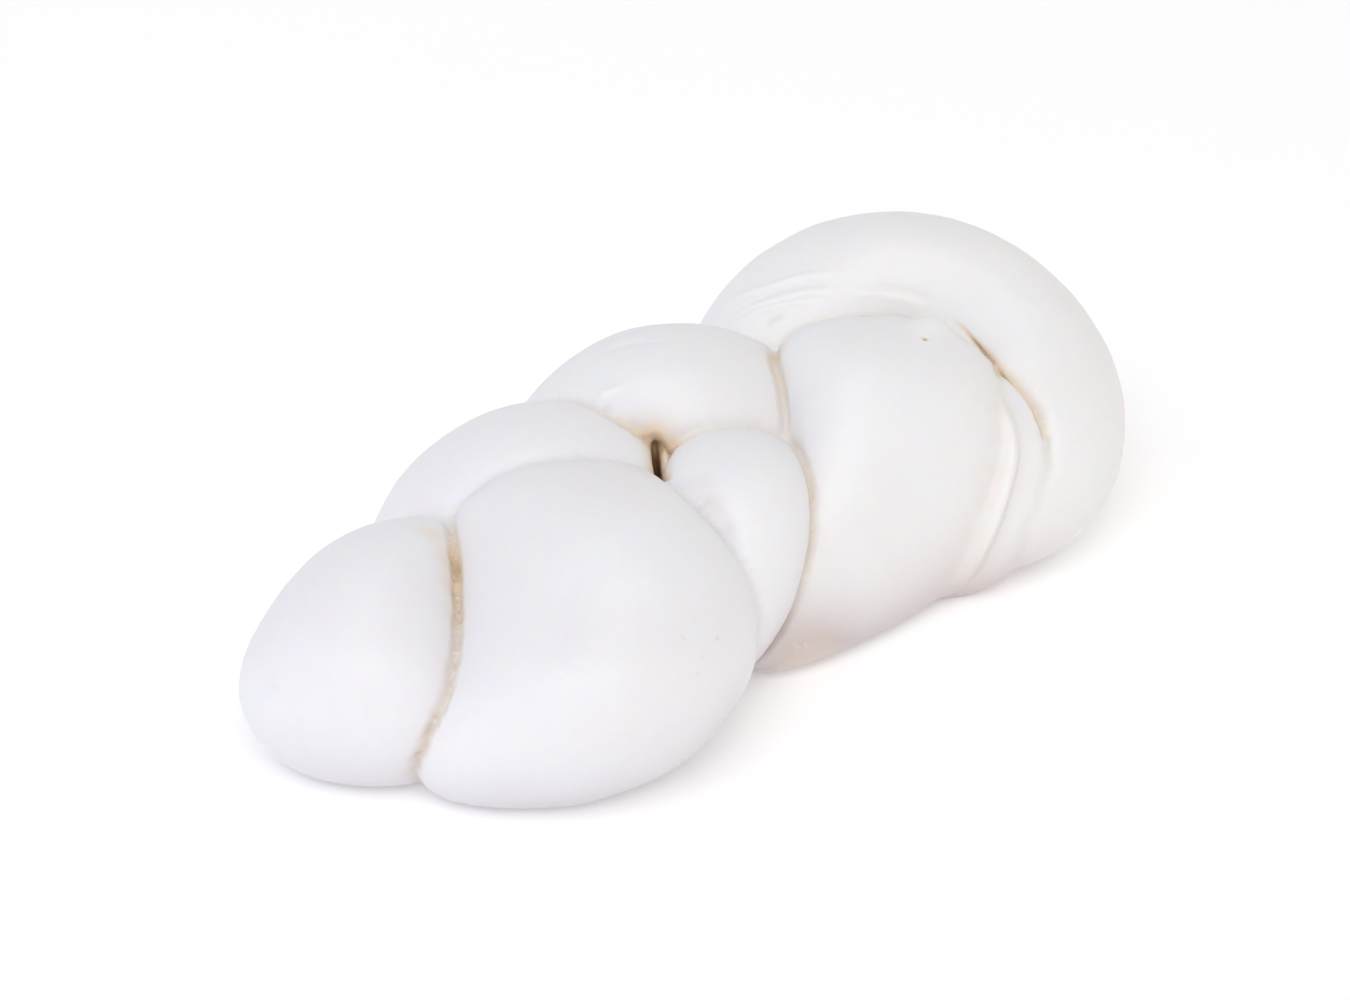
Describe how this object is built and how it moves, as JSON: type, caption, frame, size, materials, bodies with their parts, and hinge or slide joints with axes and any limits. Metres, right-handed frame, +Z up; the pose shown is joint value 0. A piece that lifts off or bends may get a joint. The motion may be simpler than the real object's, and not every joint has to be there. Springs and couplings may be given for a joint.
{
  "type": "braided mozzarella",
  "caption": "Braided fresh mozzarella: a plump white plait of stretched curd, folded back at its far end, its loose ends rounded side by side.",
  "frame": {"origin": "centre of the bounding box, at the level the cheese lies on", "axes": "+X along the plait from its loose ends to its folded end, +Y to the left, +Z up"},
  "size_m": [0.1984, 0.1048, 0.0478],
  "materials": {
    "buffalo_curd": "moist satin"
  },
  "bodies": {
    "root": {"mozzarella_braid": "buffalo_curd"}
  },
  "joints": []
}
